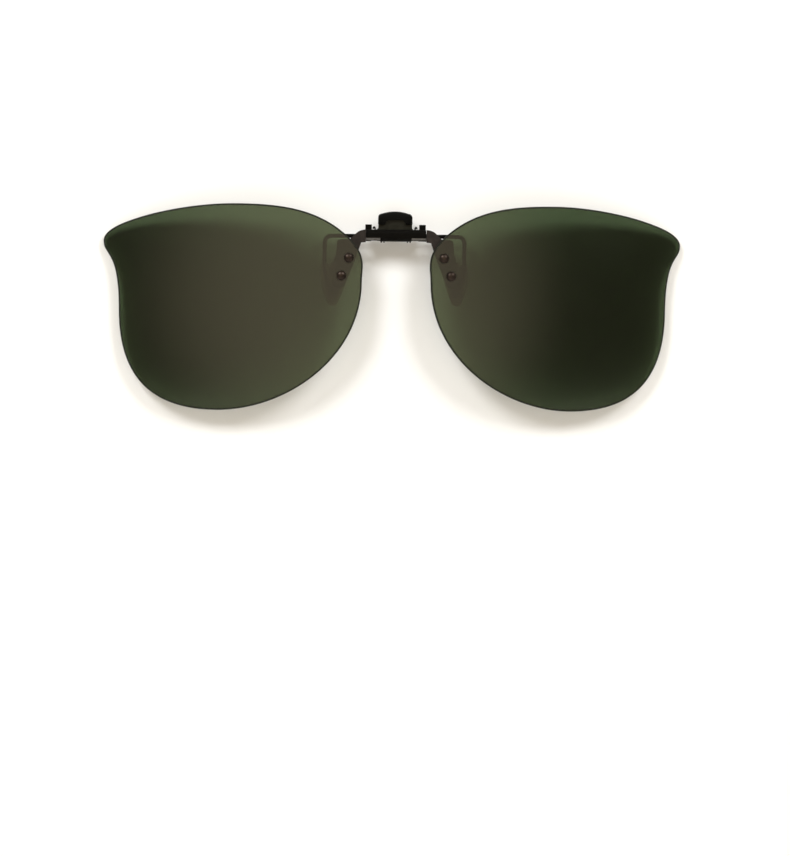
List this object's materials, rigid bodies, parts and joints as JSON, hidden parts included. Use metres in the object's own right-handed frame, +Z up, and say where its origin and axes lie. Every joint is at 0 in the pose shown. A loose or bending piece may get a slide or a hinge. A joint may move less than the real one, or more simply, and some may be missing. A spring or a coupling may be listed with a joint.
{
  "type": "clip-on flip-up sun lenses",
  "caption": "Rimless cat-eye tinted lenses that flip up on a shaft, on a sprung two-jaw clamp that grips the front of a pair of spectacles.",
  "frame": {"origin": "the nip of the clamp: middle of the closed jaws front to back, on the centre line, halfway up the rubber pads", "axes": "+Z up as worn, +X to the right seen from the front, -Y towards the front, +Y towards the wearer"},
  "size_m": [0.1432, 0.0102, 0.0506],
  "materials": {
    "lens_tint": "polished, dark grey-green tint, see-through",
    "black_metal": "satin black plated steel",
    "shaft_steel": "dark bright steel",
    "spring_steel": "blackened spring steel",
    "gunmetal": "polished gunmetal plating",
    "thumb_plastic": "fine satin moulded",
    "pad_rubber": "soft matte",
    "washer_nylon": "smoky translucent"
  },
  "bodies": {
    "front_jaw": {"jaw_frame": "black_metal", "front_pad_left": "pad_rubber", "front_pad_right": "pad_rubber", "clamp_spring_left": "spring_steel", "clamp_spring_right": "spring_steel", "detent_spring": "spring_steel"},
    "rear_jaw": {"hook_wire": "black_metal", "clamp_lever": "black_metal", "thumb_cap": "thumb_plastic", "rear_pad_left": "pad_rubber", "rear_pad_right": "pad_rubber"},
    "lens_frame": {"flip_shaft": "shaft_steel", "lens_bracket_left": "black_metal", "lens_bracket_right": "black_metal", "lens_left": "lens_tint", "lens_right": "lens_tint", "rivet_left_upper": "gunmetal", "rivet_left_lower": "gunmetal", "rivet_right_upper": "gunmetal", "rivet_right_lower": "gunmetal", "washer_left_upper": "washer_nylon", "washer_left_lower": "washer_nylon", "washer_right_upper": "washer_nylon", "washer_right_lower": "washer_nylon"}
  },
  "joints": [
    {"name": "clamp_open", "type": "hinge", "parent": "front_jaw", "child": "rear_jaw", "pos_m": [0, 0.0009, 0.0121], "axis": [1, 0, 0], "range_deg": [0, 18], "stiffness_Nm_per_rad": 0.05, "springref_deg": -34.38},
    {"name": "flip", "type": "hinge", "parent": "front_jaw", "child": "lens_frame", "pos_m": [0, -0.00245, 0.0116], "axis": [-1, 0, 0], "range_deg": [0, 90]}
  ]
}
